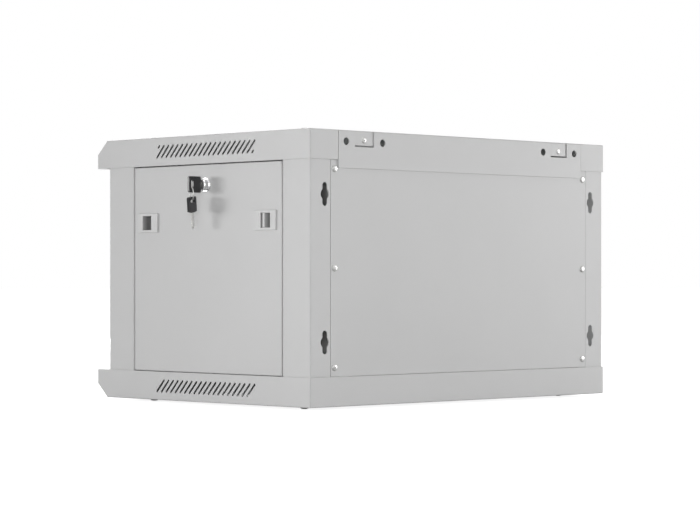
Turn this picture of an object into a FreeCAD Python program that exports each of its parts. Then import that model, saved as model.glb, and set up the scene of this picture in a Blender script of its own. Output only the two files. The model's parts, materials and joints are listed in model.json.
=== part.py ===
import FreeCAD, Part
import math
import os

from FreeCAD import Vector

# A 6U wall mount network cabinet of folded sheet steel: roof and floor pans, four corner columns, a glass
# door in front, a lift-off panel with finger latches on each side, and a rail across the back for the wall.
# Millimetres. +X is the right-hand side seen from the front, +Y the wall side, +Z up.
# The origin is the centre of the floor pan's underside.

# Case: its width is the rack's hole span and the room beside it
rack_hole_span = 465.1
rack_side_room = 67.45
case_width = rack_hole_span + 2 * rack_side_room
case_depth = 450.0
case_height = 370.0
pan_skin = 1.2
pan_flange = 40.0
pan_bend = 0.3
column_skin = 1.2
column_bend = 0.3
column_inset = 1.8
panel_skin = 1.0
nest_gap = 0.3
lip_depth = 25.8
lip_chamfer_depth = 21.6
lip_chamfer_height = 19.6
lip_upturn = 12.0
return_width = 20.0

# Corner columns
front_column_depth = 54.9
rear_column_depth = 53.7
panel_step = 11.0
seat_width = 13.0
inner_flange_inset = 56.0
front_inner_flange = 64.0
rear_inner_flange = 38.0
end_plate = 2.0

# Vents in the sides of both pans
vent_count = 20
vent_pitch = 10.05
vent_length = 25.0
vent_width = 3.3
vent_angle = 46.3
short_vent_length = 6.0
vent_chords = 4

# Fan grilles and cable entries
fan_square = 105.0
fan_hole_radius = 2.25
fan_opening = 112.0
fan_spacing = 190.0
fan_set_forward = 45.0
grille_slot = 5.0
grille_pitch = 9.0
entry_width = 260.0
entry_depth = 60.0
entry_from_back = 75.0
entry_cover_lap = 12.0
cover_skin = 1.5

# Back of the case
rear_panel_inset = 38.75
rear_panel_edge = 0.4
joggle_lap = 4.0
wall_rail_inset = 51.9
wall_rail_height = 50.9
wall_rail_skin = 1.5
wall_rail_flange = 20.0
tab_inset = 101.0
tab_width = 34.0
tab_side_gap = 1.0
tab_length = 19.8
tab_recess = 2.6
notch_clearance = 2.0
rail_hole_radius = 5.15
rail_hole_offset = 34.4
rail_hole_drop = 15.1
keyhole_inset = 28.5
keyhole_spacing = 197.2
keyhole_radius = 7.6
keyhole_slot_radius = 4.4
keyhole_height = 31.7

# Screws
frame_screw_inset = 40.6
frame_screw_from_back = 54.0
frame_screw_from_front = 80.0
frame_thread_radius = 3.0
frame_head_radius = 6.5
frame_head_height = 4.4
frame_nut_radius = 6.0
frame_nut_height = 5.0
panel_screw_inset = 46.6
panel_screw_edge = 12.1
panel_screw_head_radius = 5.2
panel_screw_head_height = 1.8
small_thread_radius = 2.0
tab_screw_head_radius = 4.4
tab_screw_head_height = 2.4
tab_screw_drop = 12.7
rack_thread_radius = 3.0
rack_head_radius = 5.0
rack_head_height = 3.0
rack_nut_radius = 5.0
rack_nut_height = 4.5
screw_clearance = 0.3
screw_crown = 0.45
panel_screw_length = 9.0
tab_screw_length = 6.0
depth_screw_length = 8.0

# Rails inside
rack_unit = 44.45
rack_units = 6
rack_square = 9.5
rack_hole_step = 15.875
rail_skin = 2.0
rack_hole_edge = 6.55
rail_side_width = 45.0
rail_end_gap = 6.0
front_rail_set_back = 75.0
rear_rail_set_back = 330.0
rail_screw_back = 30.0
depth_rail_height = 30.0
depth_rail_skin = 1.5
depth_rail_edge = 4.0
depth_rail_flange = 12.0
depth_slot_length = 24.0
depth_slot_pitch = 32.0
depth_rail_screw_inset = 17.0

# Earth stud
stud_radius = 3.0
stud_height = 18.0
stud_inset = 65.0
stud_from_back = 40.0

# Door
door_inset = 25.0
door_depth = 18.0
door_skin = 1.2
door_set_back = 5.0
door_gap = 1.5
door_side_border = 80.0
door_end_border = 32.0
door_return = 12.0
window_flange = 1.8
glass_thickness = 4.0
glass_lap = 12.0
gasket_thickness = 2.0
gasket_width = 8.0
clip_width = 16.0
clip_skin = 1.2
clip_reach = 9.0
hinge_pin_radius = 3.0
hinge_pin_play = 0.05
hinge_pin_inset = 6.0
hinge_pin_length = 22.0
hinge_collar_radius = 5.0
buffer_radius = 4.0
buffer_edge = 13.0
buffer_inset = 25.0

# Side panels
panel_gap = 1.3
panel_fold_bend = 0.5
hook_width = 20.0
hook_length = 8.0
hook_inset = 60.0
hook_play = 3.0

# Finger-slide latches
latch_drop = 78.9
latch_edge = 10.3
bezel_width = 43.5
bezel_height = 27.2
bezel_thickness = 1.6
latch_wall = 1.2
latch_play = 0.35
latch_pit_width = 15.9
latch_pit_height = 19.4
latch_pit_depth = 8.6
latch_travel = 4.4
latch_block_depth = 10.0
tongue_thickness = 3.0
tongue_height = 16.0
thumb_rib = 1.8
thumb_rib_rise = 2.0
latch_body_start = 1.0
latch_pit_start = 2.1
latch_block_length = 28.0
latch_body_end = 3.0
latch_window_play = 0.8
latch_window_cover = 2.4
latch_window_length = 19.5
latch_step_depth = 2.5

# Cam locks
lock_drop = 28.1
rosette_radius = 10.0
rosette_thickness = 1.4
lock_barrel_radius = 8.2
lock_barrel_length = 9.0
lock_nose_round = 1.5
lock_body_radius = 8.0
lock_flat = 13.8
lock_plug_radius = 5.5
lock_plug_play = 0.05
lock_nut_flats = 22.0
lock_nut_height = 3.5
side_cam_back = 1.2
door_cam_behind = 3.5
cam_thickness = 2.0
cam_width = 14.0
cam_length = 33.0
cam_bolt_head_radius = 4.5
cam_bolt_head_height = 3.0
door_lock_inset = 74.0
cam_slot_play = 2.5

# Keys
key_blade_thickness = 1.9
key_blade_width = 6.5
key_blade_length = 23.0
key_blade_hidden = 9.0
key_head_length = 21.6
key_head_width = 22.4
key_head_thickness = 3.4
key_head_shoulder = 1.5
key_head_shoulder_width = 6.0
key_head_gap = 0.8
key_head_corner = 1.5
key_cuts = 4
key_cut_size = 1.6
key_cut_pitch = 3.2
key_cut_start = 3.0
key_slot_from_end = 5.9
key_slot_width = 4.0
key_slot_length = 12.0
key_ring_radius = 9.6
key_ring_wire = 0.8
key_ring_sides = 8
key_ring_rest = 2.1
key_ring_turn = 64.0
spare_key_turn = 22.0
spare_key_lean = 6.7

# Places worked out from the sizes above
half_width = case_width / 2
inner_flange_x = half_width - inner_flange_inset
rear_panel_width = case_width - 2 * rear_panel_inset
wall_rail_width = case_width - 2 * wall_rail_inset
tab_x = half_width - tab_inset
keyhole_x = half_width - keyhole_inset
frame_screw_x = half_width - frame_screw_inset
panel_screw_x = half_width - panel_screw_inset
rail_inner_x = rack_hole_span / 2 - rack_hole_edge
stud_x = half_width - stud_inset
door_width = case_width - 2 * door_inset
door_lock_x = half_width - door_lock_inset
front_y = -case_depth / 2
back_y = case_depth / 2
mid_z = case_height / 2
flange_bottom = case_height - pan_flange
side_x = half_width - column_inset
column_front_y = front_y + lip_depth
column_back_y = back_y - column_inset
front_step_y = column_front_y + front_column_depth
rear_step_y = column_back_y - rear_column_depth
seat_x = side_x - panel_step
roof_inner_z = case_height - pan_skin
vent_row_y = (front_step_y + rear_step_y) / 2
frame_screw_front_y = front_y + frame_screw_from_front
frame_screw_back_y = back_y - frame_screw_from_back
entry_y = back_y - entry_from_back
depth_rail_x = inner_flange_x - depth_rail_skin
lower_rail_z = pan_flange + depth_rail_edge
upper_rail_z = case_height - lower_rail_z - depth_rail_height
hinge_x = -(door_width / 2 - hinge_pin_inset)
door_front_y = front_y + door_set_back
door_back_y = door_front_y + door_depth
hinge_y = (door_front_y + door_back_y) / 2
door_bottom_z = pan_flange + door_gap
door_top_z = case_height - door_bottom_z
panel_front_y = front_step_y + panel_gap
panel_back_y = rear_step_y - panel_gap
panel_bottom_z = pan_flange + panel_gap
panel_top_z = case_height - pan_flange - panel_gap
panel_fold = panel_step - nest_gap
side_lock_y = (panel_front_y + panel_back_y) / 2
side_lock_z = panel_top_z - lock_drop
latch_z = panel_top_z - latch_drop
front_rail_y = front_y + front_rail_set_back
rear_rail_y = front_y + rear_rail_set_back

AXIS_X = Vector(1, 0, 0)
AXIS_Y = Vector(0, 1, 0)
AXIS_Z = Vector(0, 0, 1)
ORIGIN = Vector(0, 0, 0)


# Helpers

def block(x0, x1, y0, y1, z0, z1):
    """A box between two corners."""
    return Part.makeBox(x1 - x0, y1 - y0, z1 - z0, Vector(x0, y0, z0))


def mid_block(x, y, z, width, depth, height):
    """A box about its centre."""
    return Part.makeBox(width, depth, height, Vector(x - width / 2, y - depth / 2, z - height / 2))


def rod(centre, axis, radius, length):
    """A cylinder from centre along axis."""
    return Part.makeCylinder(radius, length, centre, axis)


def moved(shape, x, y, z):
    """A copy of a shape, shifted."""
    copy = shape.copy()
    copy.translate(Vector(x, y, z))
    return copy


def turned(shape, axis, angle, centre=ORIGIN):
    """A copy of a shape, turned about a line by degrees."""
    copy = shape.copy()
    copy.rotate(centre, axis, angle)
    return copy


def mirrored(shape):
    """The left-hand twin of a right-hand shape."""
    return shape.mirror(ORIGIN, AXIS_X)


def upside_down(shape):
    """A shape turned over about the middle height of the case."""
    return shape.mirror(Vector(0, 0, mid_z), AXIS_Z)


def joined(shapes):
    """One solid from touching shapes."""
    first = shapes[0]
    return first.fuse(shapes[1:]).removeSplitter()


def group(shapes):
    """Separate solids kept in one sub-part."""
    return Part.makeCompound([solid for shape in shapes for solid in shape.Solids])


def prism_x(points, x0, x1):
    """An outline of (y, z) points carried across the width."""
    corners = [Vector(x0, y, z) for y, z in points]
    face = Part.Face(Part.makePolygon(corners + corners[:1]))
    return face.extrude(Vector(x1 - x0, 0, 0))


def slot(length, width, thickness):
    """A round-ended bar, lying along X and centred on the origin."""
    half = length / 2 - width / 2
    radius = width / 2
    top = Part.LineSegment(Vector(-half, radius, 0), Vector(half, radius, 0)).toShape()
    low = Part.LineSegment(Vector(half, -radius, 0), Vector(-half, -radius, 0)).toShape()
    right = Part.Arc(Vector(half, radius, 0), Vector(half + radius, 0, 0), Vector(half, -radius, 0)).toShape()
    left_end = Vector(-half - radius, 0, 0)
    left = Part.Arc(Vector(-half, -radius, 0), left_end, Vector(-half, radius, 0)).toShape()
    face = Part.Face(Part.Wire([top, right, low, left]))
    return moved(face.extrude(Vector(0, 0, thickness)), 0, 0, -thickness / 2)


def vent(length, width, thickness):
    """A slot whose ends are a few chords, for patterns of many."""
    half = length / 2 - width / 2
    radius = width / 2
    corners = []
    for centre, start in ((half, -90), (-half, 90)):
        for i in range(vent_chords + 1):
            angle = math.radians(start + 180 * i / vent_chords)
            x = centre + radius * math.cos(angle)
            corners.append(Vector(x, radius * math.sin(angle), -thickness / 2))
    return Part.Face(Part.makePolygon(corners + corners[:1])).extrude(Vector(0, 0, thickness))


def across(bar):
    """A slot turned to lie along Y and to cut across the width."""
    return turned(turned(bar, AXIS_X, 90), AXIS_Z, 90)


def folded_section(path, skin, bend):
    """The face of a folded sheet seen from its end: path runs along one side, the skin lies to its left."""
    points = [Vector(x, y, 0) for x, y in path]
    runs = [(b - a).normalize() for a, b in zip(points, points[1:])]
    lefts = [Vector(-run.y, run.x, 0) for run in runs]
    near = []
    far = []
    start = points[0]
    far_start = start + lefts[0] * skin
    for corner, run_in, run_out, left_in, left_out in zip(points[1:], runs, runs[1:], lefts, lefts[1:]):
        turn = math.atan2(run_in.cross(run_out).z, run_in.dot(run_out))
        near_radius = bend + skin if turn > 0 else bend
        far_radius = bend if turn > 0 else bend + skin
        side = 1 if turn > 0 else -1
        setback = near_radius * math.tan(abs(turn) / 2)
        begin = corner - run_in * setback
        finish = corner + run_out * setback
        centre = begin + left_in * side * near_radius
        outward = (corner - centre).normalize()
        near.append(Part.LineSegment(start, begin).toShape())
        near.append(Part.Arc(begin, centre + outward * near_radius, finish).toShape())
        far_begin = begin + left_in * skin
        far_finish = finish + left_out * skin
        far.append(Part.LineSegment(far_start, far_begin).toShape())
        far.append(Part.Arc(far_begin, centre + outward * far_radius, far_finish).toShape())
        start = finish
        far_start = far_finish
    end = points[-1]
    far_end = end + lefts[-1] * skin
    near.append(Part.LineSegment(start, end).toShape())
    far.append(Part.LineSegment(far_start, far_end).toShape())
    caps = [Part.LineSegment(points[0], points[0] + lefts[0] * skin).toShape()]
    caps.append(Part.LineSegment(end, far_end).toShape())
    return Part.Face(Part.Wire(Part.__sortEdges__(near + far + caps)))


def folded_sheet(path, skin, bend, z0, z1):
    """A folded sheet standing upright between two heights."""
    return moved(folded_section(path, skin, bend), 0, 0, z0).extrude(Vector(0, 0, z1 - z0))


def rounded(shape, radius, keep):
    """A shape with the edges that keep(edge) picks rounded."""
    return shape.makeFillet(radius, [edge for edge in shape.Edges if keep(edge)])


def revolved(outline):
    """A solid turned about Z from an outline of (radius, z) points that starts and ends on the axis."""
    corners = [Vector(radius, 0, z) for radius, z in outline]
    face = Part.Face(Part.makePolygon(corners + corners[:1]))
    return face.revolve(ORIGIN, AXIS_Z, 360)


def pan_head_screw(head_radius, head_height, thread_radius, length):
    """A screw along Z: its head above zero with a sloping crown, its shank below."""
    crown = head_height * screw_crown
    shank = [(0, -length), (thread_radius, -length), (thread_radius, 0)]
    head = [(head_radius, 0), (head_radius, head_height - crown)]
    top = [(head_radius - crown, head_height), (0, head_height)]
    return revolved(shank + head + top)


def hex_screw(head_radius, head_height, thread_radius, length):
    """A hexagon screw along Z: its head above zero, its shank below."""
    shank = Part.makeCylinder(thread_radius, length, Vector(0, 0, -length))
    return joined([hexagon(head_radius * math.sqrt(3), head_height), shank])


def hexagon(flats, height):
    """A hexagonal bar on the XY plane."""
    radius = flats / math.sqrt(3)
    corners = [Vector(radius * math.cos(math.radians(60 * i)), radius * math.sin(math.radians(60 * i)), 0)
               for i in range(7)]
    return Part.Face(Part.makePolygon(corners)).extrude(Vector(0, 0, height))


def nut(radius, height, bore):
    """A hexagonal nut standing on the XY plane."""
    return hexagon(radius * math.sqrt(3), height).cut(Part.makeCylinder(bore, height))


# Roof and floor pans

def pan_outline(inset, drop):
    """Corner points (y, z) of the pan's side view, inset from its faces and carried below its lower edge."""
    run = lip_chamfer_depth
    rise = lip_chamfer_height
    slope = math.atan2(rise, run)
    shift = inset * math.tan(slope / 2)
    face_shift = inset * math.tan((math.pi / 2 - slope) / 2)
    return [
        (front_y + inset, flange_bottom - drop),
        (front_y + inset, case_height - rise - face_shift),
        (front_y + run + shift, case_height - inset),
        (back_y - inset, case_height - inset),
        (back_y - inset, flange_bottom - drop),
    ]


def pan_tray():
    """The roof pan's skin: top, chamfered lip, sides and back, open below."""
    outer = prism_x(pan_outline(0, 0), -half_width, half_width)
    outer = rounded(outer, pan_bend + pan_skin, lambda edge: edge.BoundBox.ZMax > flange_bottom + 0.01)
    inner_x = half_width - pan_skin
    inner = prism_x(pan_outline(pan_skin, pan_flange), -inner_x, inner_x)
    inner = rounded(inner, pan_bend, lambda edge: edge.BoundBox.ZMax > flange_bottom - pan_flange / 2)
    return outer.cut(inner)


def lip_return():
    """The flange turned back under the front lip, with its upturned edge in front of the columns."""
    rear = column_front_y - nest_gap
    reach = half_width - pan_skin
    flat = block(-reach, reach, front_y + pan_skin, rear, flange_bottom, flange_bottom + pan_skin)
    upturn = block(-reach, reach, rear - pan_skin, rear, flange_bottom, flange_bottom + lip_upturn)
    return [flat, upturn]


def side_return():
    """The flange turned in along the right-hand side, between the columns."""
    outer = half_width - pan_skin
    reach = seat_width + nest_gap
    return block(outer - return_width, outer, front_step_y + reach, rear_step_y - reach,
                 flange_bottom, flange_bottom + pan_skin)


def vent_cutters(height, short_vents):
    """The slanted slots of both sides, in a row at one height."""
    reach = 2 * case_width
    bar = turned(across(vent(vent_length, vent_width, reach)), AXIS_X, vent_angle)
    first = vent_row_y - vent_pitch * (vent_count - 1) / 2
    cutters = [moved(bar, 0, first + vent_pitch * i, height) for i in range(vent_count)]
    if short_vents:
        offset = (vent_length - short_vent_length) / 2
        along_y = offset * math.cos(math.radians(vent_angle))
        along_z = offset * math.sin(math.radians(vent_angle))
        bar = turned(across(vent(short_vent_length, vent_width, reach)), AXIS_X, vent_angle)
        cutters.append(moved(bar, 0, first - vent_pitch + along_y, height + along_z))
        cutters.append(moved(bar, 0, first + vent_pitch * vent_count - along_y, height - along_z))
    return cutters


def frame_screw_places():
    """Where the four columns are screwed to a pan."""
    depths = (frame_screw_front_y, frame_screw_back_y)
    return [(x, y) for x in (-frame_screw_x, frame_screw_x) for y in depths]


def frame_screw_holes(z0, z1):
    """Clearance holes for the frame screws between two heights."""
    radius = frame_thread_radius + screw_clearance
    return [rod(Vector(x, y, z0), AXIS_Z, radius, z1 - z0) for x, y in frame_screw_places()]


def fan_centres():
    """Where the two fans hang under the roof."""
    return [(-fan_spacing / 2, -fan_set_forward), (fan_spacing / 2, -fan_set_forward)]


def fan_cutters():
    """Two round grilles of parallel slots, each with four screw holes at its corners."""
    cutters = []
    radius = fan_opening / 2
    rows = int(radius / grille_pitch)
    for x, y in fan_centres():
        for i in range(-rows, rows + 1):
            chord = 2 * math.sqrt(radius ** 2 - (i * grille_pitch) ** 2)
            bar = vent(chord, grille_slot, 4 * pan_skin)
            cutters.append(moved(bar, x, y + i * grille_pitch, case_height))
        for sx in (-1, 1):
            for sy in (-1, 1):
                corner = Vector(x + sx * fan_square / 2, y + sy * fan_square / 2, case_height - 2 * pan_skin)
                cutters.append(rod(corner, AXIS_Z, fan_hole_radius, 3 * pan_skin))
    return cutters


def cover_screw_places():
    """Where a cable cover is screwed to its pan."""
    reach_x = (entry_width + entry_cover_lap) / 2
    reach_y = (entry_depth + entry_cover_lap) / 2
    return [(sx * reach_x, entry_y + sy * reach_y) for sx in (-1, 1) for sy in (-1, 1)]


def cable_entry_cutters():
    """The cable opening near the back of the roof and the holes for its cover's screws."""
    middle = case_height - pan_skin / 2
    cutters = [mid_block(0, entry_y, middle, entry_width, entry_depth, 2 * pan_skin)]
    radius = small_thread_radius + screw_clearance
    for x, y in cover_screw_places():
        cutters.append(rod(Vector(x, y, case_height - 2 * pan_skin), AXIS_Z, radius, 3 * pan_skin))
    return cutters


def hook_places():
    """Where the side panels' hooks pass the floor pan's return flange, as distances along the side."""
    return [panel_front_y + hook_inset, panel_back_y - hook_inset]


def hook_slots():
    """Slots in the right-hand return flange of the floor pan for the side panel's hooks."""
    hook_x = side_x - panel_fold
    return [block(hook_x - hook_play, hook_x + panel_skin + hook_play / 2, y - hook_width / 2 - hook_play / 2,
                  y + hook_width / 2 + hook_play / 2, pan_flange - 2 * pan_skin, pan_flange + pan_skin)
            for y in hook_places()]


def hinge_hole(z):
    """The hole for one of the door's pivot pins in a lip's return flange."""
    radius = hinge_pin_radius + hinge_pin_play
    return rod(Vector(hinge_x, hinge_y, z - pan_skin), AXIS_Z, radius, 3 * pan_skin)


def common_pan():
    """What the roof pan and the turned-over floor pan share."""
    parts = [pan_tray()] + lip_return() + [side_return(), mirrored(side_return())]
    pan = joined(parts)
    holes = frame_screw_holes(roof_inner_z - pan_skin, case_height + pan_skin)
    return pan.cut(holes + cable_entry_cutters() + [hinge_hole(flange_bottom)])


def roof_tab_cutters():
    """Gaps in the roof's back edge for the two tabs, and the screw holes through them."""
    width = tab_width + 2 * tab_side_gap
    y = back_y - tab_recess / 2
    return [mid_block(x, y, case_height, width, tab_recess, 4 * pan_skin) for x in (-tab_x, tab_x)]


def roof_tabs():
    """Two tabs folded down from the roof into the wall rail's pockets."""
    outer = back_y - tab_recess
    tabs = []
    for x in (-tab_x, tab_x):
        tab = block(x - tab_width / 2, x + tab_width / 2, outer - pan_skin, outer,
                    case_height - tab_length, case_height)
        tab = rounded(tab, pan_bend, lambda edge: edge.BoundBox.YMin > outer - 0.01
                      and edge.BoundBox.ZMin > case_height - 0.01)
        hole = rod(Vector(x, outer - 2 * pan_skin, case_height - tab_screw_drop), AXIS_Y,
                   small_thread_radius + screw_clearance, 3 * pan_skin)
        tabs.append(tab.cut(hole))
    return tabs


def roof_pan():
    """The roof: common tray, back left open for the wall rail, fan grilles, vents and two tabs."""
    reach = wall_rail_width / 2 + nest_gap
    back_gap = block(-reach, reach, back_y - pan_skin - pan_bend, back_y + pan_skin,
                     flange_bottom - pan_skin, roof_inner_z)
    pan = common_pan().cut([back_gap] + roof_tab_cutters() + fan_cutters())
    pan = pan.cut(vent_cutters(case_height - pan_flange / 2, True))
    return joined([pan] + roof_tabs())


def floor_pan():
    """The floor: common tray turned over, a return flange along the back, vents and hook slots."""
    reach = inner_flange_x - nest_gap
    rear_return = block(-reach, reach, back_y - pan_skin - return_width, back_y - pan_skin,
                        pan_flange - pan_skin, pan_flange)
    pan = joined([upside_down(common_pan()), rear_return])
    slots = hook_slots()
    return pan.cut(vent_cutters(pan_flange / 2, False) + slots + [mirrored(opening) for opening in slots])


# Corner columns

def column_ends(outline_x0, outline_x1, y0, y1):
    """Plates that close a column's ends and take the frame screws."""
    low = block(outline_x0, outline_x1, y0, y1, pan_skin, pan_skin + end_plate)
    return [low, upside_down(low)]


def front_column():
    """The right-hand front column: front face, side face, step and seat for the side panel."""
    path = [
        (inner_flange_x, column_front_y + front_inner_flange),
        (inner_flange_x, column_front_y),
        (side_x, column_front_y),
        (side_x, front_step_y),
        (seat_x, front_step_y),
        (seat_x, front_step_y + seat_width),
    ]
    low = pan_skin + nest_gap + pan_bend / 2
    sheet = folded_sheet(path, column_skin, column_bend, low, case_height - low)
    inside = inner_flange_x + column_skin / 2
    body_y0 = column_front_y + column_skin / 2
    body_y1 = front_step_y - column_skin / 2
    plates = column_ends(inside, side_x - column_skin / 2, body_y0, body_y1)
    plates += column_ends(inside, seat_x - 2 * column_skin, body_y0, column_front_y + front_inner_flange)
    column = joined([sheet] + plates)
    return column.cut(frame_screw_holes(0, case_height) + depth_rail_screw_holes())


def cam_slot():
    """The slot in the front column's inner flange that the door lock's cam swings into."""
    reach = math.hypot(cam_length, cam_width / 2)
    bite = inner_flange_x - door_lock_x
    drop = math.sqrt(reach ** 2 - bite ** 2) + cam_slot_play
    rise = cam_width / 2 + cam_slot_play
    y0 = column_front_y + column_skin + 1
    y1 = y0 + door_cam_behind + cam_thickness + cam_slot_play
    return block(inner_flange_x - column_skin, inner_flange_x + 2 * column_skin, y0, y1,
                 mid_z - drop, mid_z + rise)


def keyhole(x, z):
    """A double-ended keyhole through a rear column, for hanging either way up."""
    depth = 6 * column_skin
    bar = turned(turned(slot(keyhole_height, 2 * keyhole_slot_radius, depth), AXIS_Y, 90), AXIS_Z, 90)
    hole = rod(Vector(0, -depth / 2, 0), AXIS_Y, keyhole_radius, depth)
    return moved(bar.fuse(hole), x, column_back_y, z)


def rear_column():
    """The right-hand rear column: seat and step for the side panel, side, back, rear panel's seat."""
    joggle_x = rear_panel_width / 2 + nest_gap
    path = [
        (seat_x, rear_step_y - seat_width),
        (seat_x, rear_step_y),
        (side_x, rear_step_y),
        (side_x, column_back_y),
        (joggle_x, column_back_y),
    ]
    seat_y = column_back_y - panel_skin
    seat_path = [
        (joggle_x + joggle_lap, seat_y),
        (inner_flange_x, seat_y),
        (inner_flange_x, seat_y - rear_inner_flange),
    ]
    low = pan_skin + nest_gap + pan_bend / 2
    high = case_height - low
    sheet = folded_sheet(path, column_skin, column_bend, low, high)
    seat = folded_sheet(seat_path, column_skin, column_bend, low, high)
    inside = inner_flange_x + column_skin / 2
    inner_y1 = seat_y - column_skin / 2
    plates = column_ends(inside, side_x - column_skin / 2, rear_step_y + column_skin / 2, inner_y1)
    inner_y0 = seat_y - rear_inner_flange - end_plate * 4
    plates += column_ends(inside, seat_x - 2 * column_skin, inner_y0, inner_y1)
    column = joined([sheet, seat] + plates)
    holes = frame_screw_holes(0, case_height) + depth_rail_screw_holes() + rear_panel_screw_holes()
    keyholes = [keyhole(keyhole_x, mid_z + side * keyhole_spacing / 2) for side in (-1, 1)]
    return column.cut(holes + keyholes)


# Back of the case

def rear_panel_screw_places():
    """Six places down the rear panel's edges, as (x, z)."""
    low = pan_flange + rear_panel_edge + panel_screw_edge
    return [(x, z) for x in (-panel_screw_x, panel_screw_x) for z in (low, mid_z, case_height - low)]


def rear_panel_screw_holes():
    """Thread-forming holes for the rear panel's screws."""
    start = column_back_y - 5 * column_skin
    return [rod(Vector(x, start, z), AXIS_Y, small_thread_radius, 7 * column_skin)
            for x, z in rear_panel_screw_places()]


def rear_panel():
    """The flat plate that closes the back between the columns."""
    low = pan_flange + rear_panel_edge
    plate = block(-rear_panel_width / 2, rear_panel_width / 2, column_back_y - panel_skin, column_back_y,
                  low, case_height - low)
    return plate.cut(rear_panel_screw_holes())


def rear_panel_screws():
    """Six domed screws that hold the rear panel."""
    screw = pan_head_screw(panel_screw_head_radius, panel_screw_head_height, small_thread_radius,
                           panel_screw_length)
    screw = turned(screw, AXIS_X, -90)
    return group([moved(screw, x, column_back_y, z) for x, z in rear_panel_screw_places()])


def rail_hole_places():
    """The wall rail's four round holes, as distances from the middle."""
    return [side * (tab_x + shift) for side in (-1, 1) for shift in (-rail_hole_offset, rail_hole_offset)]


def rail_pocket(x):
    """The pocket in the wall rail that takes one of the roof's tabs."""
    floor_y = back_y - tab_recess - pan_skin
    half = tab_width / 2 + tab_side_gap
    low = case_height - tab_length - notch_clearance
    return block(x - half - wall_rail_skin, x + half + wall_rail_skin, floor_y - wall_rail_skin, back_y,
                 low - wall_rail_skin, roof_inner_z)


def rail_pocket_cutter(x):
    """The hollow of one pocket, the slit below its tab and the screw hole in its floor."""
    floor_y = back_y - tab_recess - pan_skin
    half = tab_width / 2 + tab_side_gap
    low = case_height - tab_length - notch_clearance
    hollow = block(x - half, x + half, floor_y, back_y + 1, low, case_height)
    slit = block(x - half, x + half, floor_y - 2 * wall_rail_skin, floor_y + 1, low, low + notch_clearance)
    hole = rod(Vector(x, floor_y - 2 * wall_rail_skin, case_height - tab_screw_drop), AXIS_Y,
               small_thread_radius, 4 * wall_rail_skin)
    return [hollow, slit, hole]


def wall_rail():
    """The rail across the top of the back: a web on the wall side and a flange under the roof."""
    half = wall_rail_width / 2
    web = block(-half, half, back_y - wall_rail_skin, back_y, case_height - wall_rail_height, roof_inner_z)
    flange = block(-inner_flange_x, inner_flange_x, back_y - wall_rail_flange, back_y,
                   roof_inner_z - wall_rail_skin, roof_inner_z)
    rail = joined([web, flange] + [rail_pocket(x) for x in (-tab_x, tab_x)])
    cutters = []
    for x in (-tab_x, tab_x):
        cutters += rail_pocket_cutter(x)
    for x in rail_hole_places():
        cutters.append(rod(Vector(x, back_y - 2 * wall_rail_skin, case_height - rail_hole_drop), AXIS_Y,
                           rail_hole_radius, 4 * wall_rail_skin))
    return rail.cut(cutters)


def wall_rail_screws():
    """The two screws that hold the roof's tabs in the wall rail."""
    screw = pan_head_screw(tab_screw_head_radius, tab_screw_head_height, small_thread_radius,
                           tab_screw_length)
    screw = turned(screw, AXIS_X, -90)
    z = case_height - tab_screw_drop
    return group([moved(screw, x, back_y - tab_recess, z) for x in (-tab_x, tab_x)])


# Frame fasteners

def frame_screws():
    """Eight large screws, over the roof and under the floor, that hold the columns."""
    length = pan_skin + end_plate + frame_nut_height
    screw = pan_head_screw(frame_head_radius, frame_head_height, frame_thread_radius, length)
    top = [moved(screw, x, y, case_height) for x, y in frame_screw_places()]
    return group(top + [upside_down(shape) for shape in top])


def frame_nuts():
    """The nuts on the frame screws, inside the columns' end plates."""
    piece = nut(frame_nut_radius, frame_nut_height, frame_thread_radius)
    low = [moved(piece, x, y, pan_skin + end_plate) for x, y in frame_screw_places()]
    return group(low + [upside_down(shape) for shape in low])


# Cable entries and earth stud

def cable_covers():
    """Plates inside the pans that close the roof's and the floor's cable openings."""
    width = entry_width + 2 * entry_cover_lap
    depth = entry_depth + 2 * entry_cover_lap
    low = mid_block(0, entry_y, pan_skin + cover_skin / 2, width, depth, cover_skin)
    radius = small_thread_radius
    low = low.cut([rod(Vector(x, y, 0), AXIS_Z, radius, 3 * cover_skin) for x, y in cover_screw_places()])
    return group([low, upside_down(low)])


def cable_cover_screws():
    """Four screws through each cable cover, heads outside the case's inner face."""
    length = pan_skin + cover_skin
    screw = hex_screw(tab_screw_head_radius, tab_screw_head_height, small_thread_radius, length)
    screws = [moved(screw, x, y, pan_skin + cover_skin) for x, y in cover_screw_places()]
    return group(screws + [upside_down(shape) for shape in screws])


def earth_stud():
    """The earth stud beside the left rear column, with its flange."""
    y = back_y - stud_from_back
    stud = rod(Vector(-stud_x, y, pan_skin), AXIS_Z, stud_radius, stud_height)
    flange = rod(Vector(-stud_x, y, pan_skin), AXIS_Z, 2 * stud_radius, pan_skin)
    return joined([stud, flange])


# Rails inside

def depth_rail_screw_places():
    """Where the depth rails are screwed to the columns' inner flanges, as (y, z)."""
    rear = column_back_y - panel_skin - depth_rail_screw_inset
    heights = (lower_rail_z + depth_rail_height / 2, upper_rail_z + depth_rail_height / 2)
    return [(y, z) for y in (column_front_y + depth_rail_screw_inset, rear) for z in heights]


def depth_rail_screw_holes():
    """Holes for the depth rails' screws through a right-hand column's inner flange."""
    return [rod(Vector(inner_flange_x - column_skin, y, z), AXIS_X, small_thread_radius, 4 * column_skin)
            for y, z in depth_rail_screw_places()]


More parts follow.
